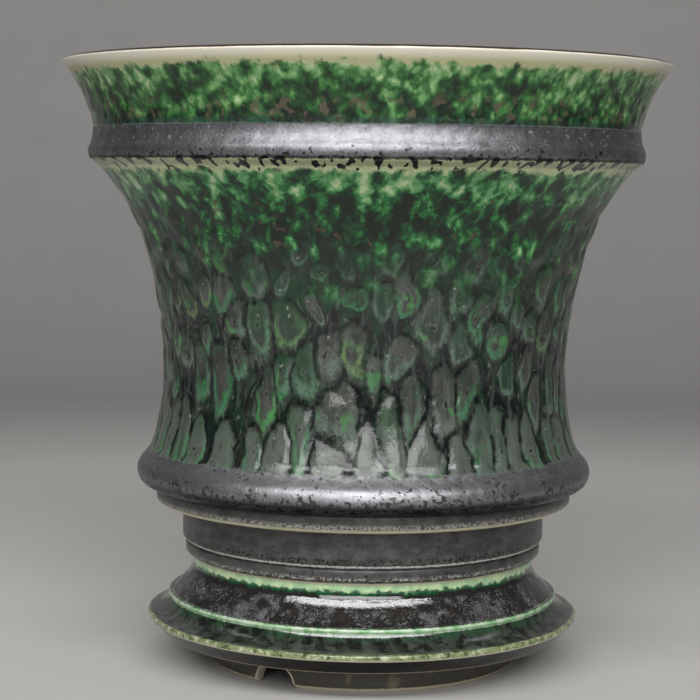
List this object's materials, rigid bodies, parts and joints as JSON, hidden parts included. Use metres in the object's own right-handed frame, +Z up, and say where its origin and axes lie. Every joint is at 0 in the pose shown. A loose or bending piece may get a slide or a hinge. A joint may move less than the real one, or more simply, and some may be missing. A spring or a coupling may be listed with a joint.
{
  "type": "flower pot",
  "caption": "Flared round porcelain pot with a thin lip, a metallic band and a celled green glaze, on a stepped neck that lifts out of a low flared stand with a notched foot.",
  "frame": {"origin": "centre of the sole of the foot ring, on the surface that the pot stands on", "axes": "+Z up along the turning axis, -Y towards the viewer of the picture"},
  "size_m": [0.12, 0.12, 0.1191],
  "materials": {
    "bowl_glaze": "glossy green glaze in raised cells over porcelain, cream lip, pewter band and bead",
    "neck_glaze": "satin pewter-black metallic glaze with pale edges",
    "stand_glaze": "glossy black-brown crystalline glaze, pale green where it breaks over the ridges",
    "foot_glaze": "thin brown-grey glaze, bare pale porcelain on the sole",
    "screen_plastic": "moulded dark green-black plastic"
  },
  "bodies": {
    "stand": {"pedestal": "stand_glaze", "foot_ring": "foot_glaze"},
    "pot": {"bowl": "bowl_glaze", "base_plate": "neck_glaze", "collar": "neck_glaze"},
    "screen": {"drain_screen": "screen_plastic"}
  },
  "joints": [
    {"name": "pot_lift", "type": "slide", "parent": "stand", "child": "pot", "axis": [0, 0, 1], "range_m": [0, 0.04]},
    {"name": "screen_lift", "type": "slide", "parent": "pot", "child": "screen", "axis": [0, 0, 1], "range_m": [0, 0.1]}
  ]
}
